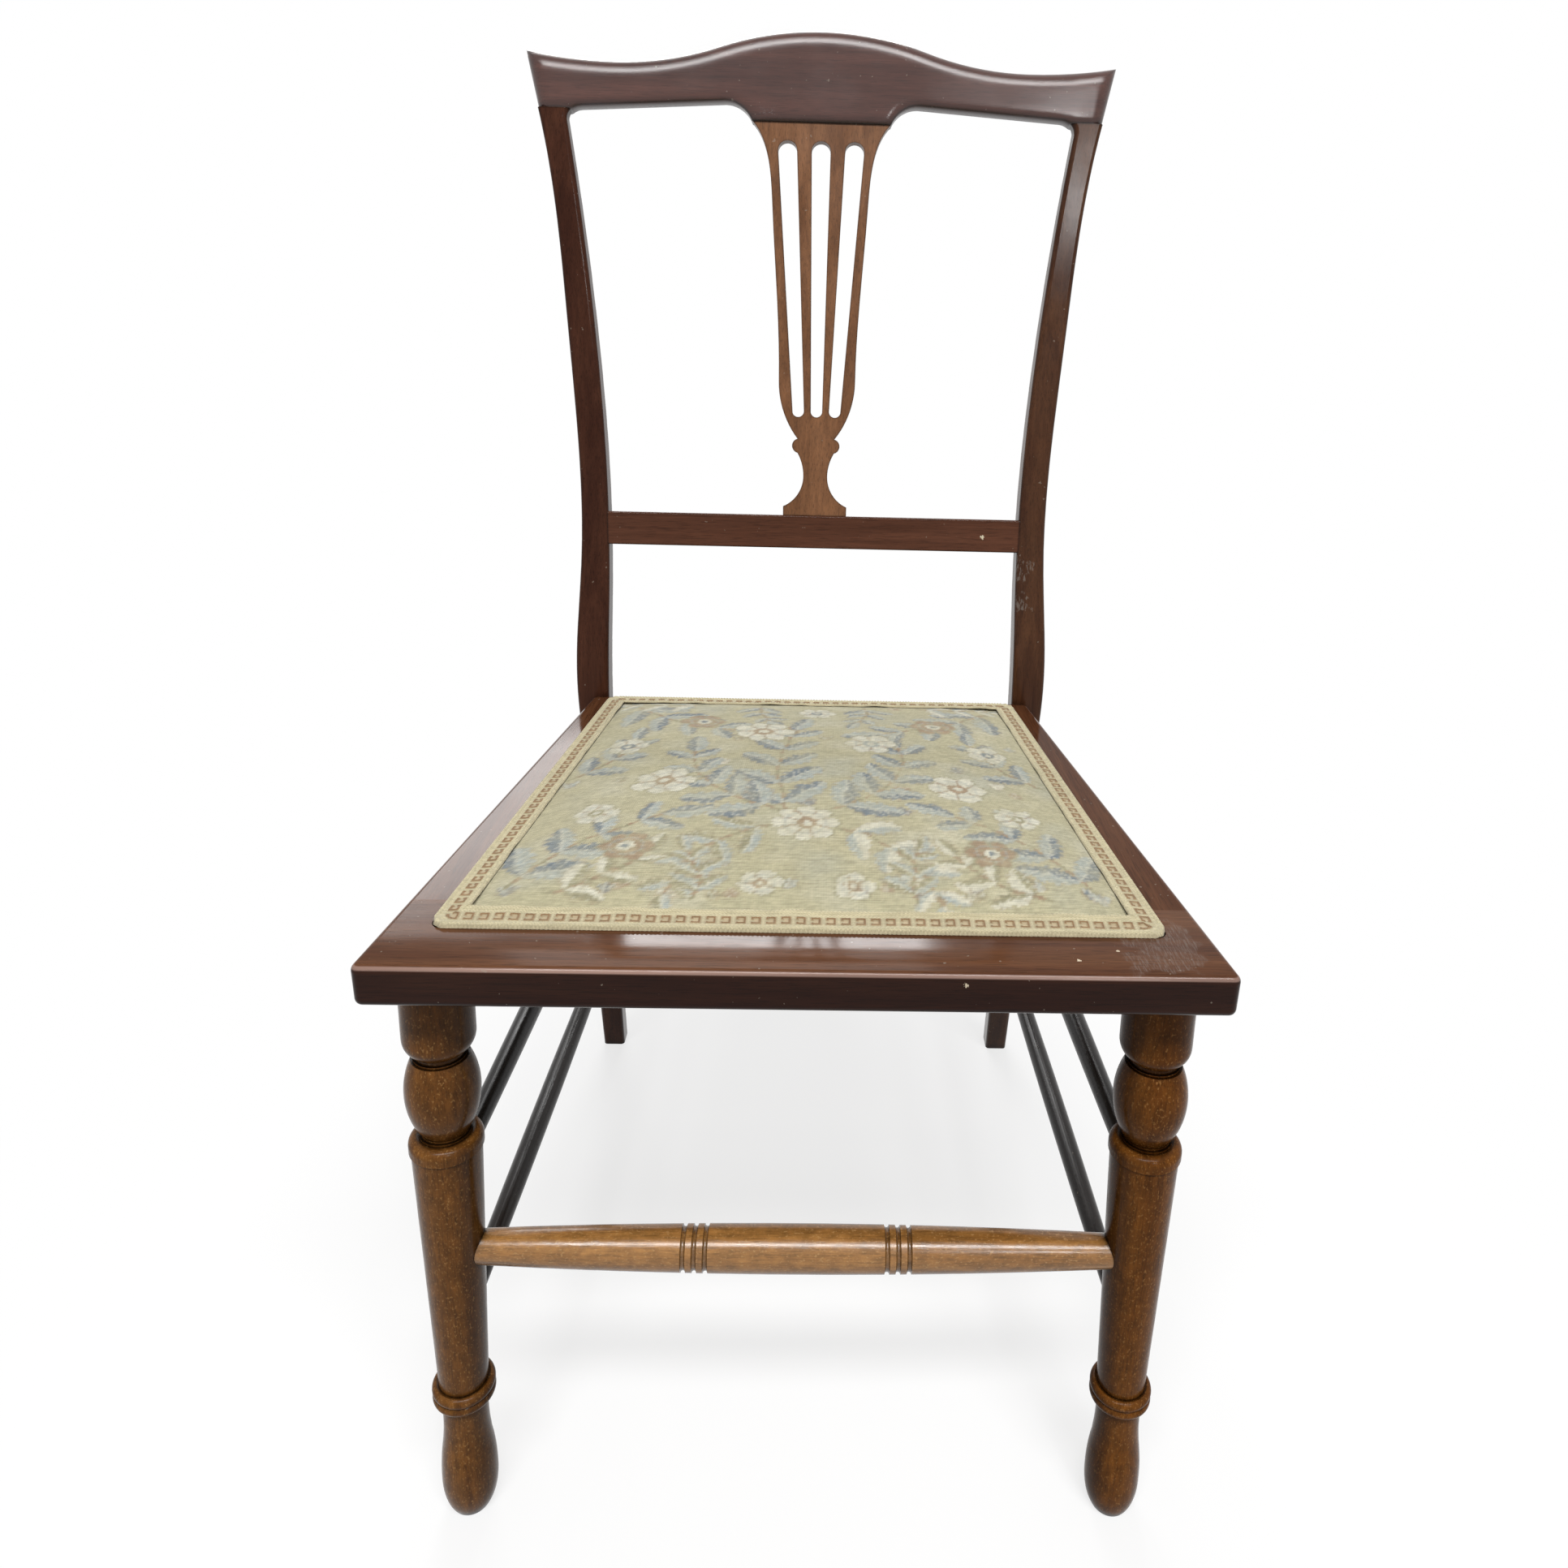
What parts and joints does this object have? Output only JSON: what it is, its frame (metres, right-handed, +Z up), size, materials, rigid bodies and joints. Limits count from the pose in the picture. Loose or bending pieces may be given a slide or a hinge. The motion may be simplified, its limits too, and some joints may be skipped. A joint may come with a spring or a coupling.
{
  "type": "child chair",
  "caption": "Child's wooden side chair with a raked open back, pierced vase splat, turned front legs and stretcher, and a low stuffed tapestry seat edged with braid.",
  "frame": {"origin": "on the floor, at the middle of the chair's plan", "axes": "+Z up, -Y the way the sitter faces, +X to the right seen from the front"},
  "size_m": [0.348, 0.3804, 0.7004],
  "materials": {
    "dark_mahogany": "dark polished mahogany, worn at the arrises",
    "splat_wood": "warm brown satin polish",
    "turned_wood": "golden brown polish, rubbed and speckled",
    "black_stained_wood": "near-black stain, half gloss",
    "dowel_wood": "plain beech",
    "webbing": "jute webbing",
    "tack_steel": "blued cut tacks",
    "hessian": "plain jute cloth",
    "stuffing": "hair and fibre",
    "tapestry": "woven leaf and flower cloth",
    "gimp": "cream and russet braid"
  },
  "bodies": {
    "root": {"back_seat_rail": "dark_mahogany", "back_splat": "splat_wood", "back_stretcher": "black_stained_wood", "crest_dowels": "dowel_wood", "crest_rail": "dark_mahogany", "crosswise_webbing": "webbing", "front_seat_rail": "dark_mahogany", "front_stretcher": "turned_wood", "gimp_braid": "gimp", "hessian_base": "hessian", "left_back_leg": "dark_mahogany", "left_front_leg": "turned_wood", "left_lower_stretcher": "black_stained_wood", "left_seat_rail": "dark_mahogany", "left_upper_stretcher": "black_stained_wood", "lengthwise_webbing": "webbing", "lower_back_rail": "dark_mahogany", "right_back_leg": "dark_mahogany", "right_front_leg": "turned_wood", "right_lower_stretcher": "black_stained_wood", "right_seat_rail": "dark_mahogany", "right_upper_stretcher": "black_stained_wood", "seat_frame_dowels": "dowel_wood", "stuffing_pad": "stuffing", "tapestry_cover": "tapestry", "webbing_tacks": "tack_steel"}
  },
  "joints": []
}
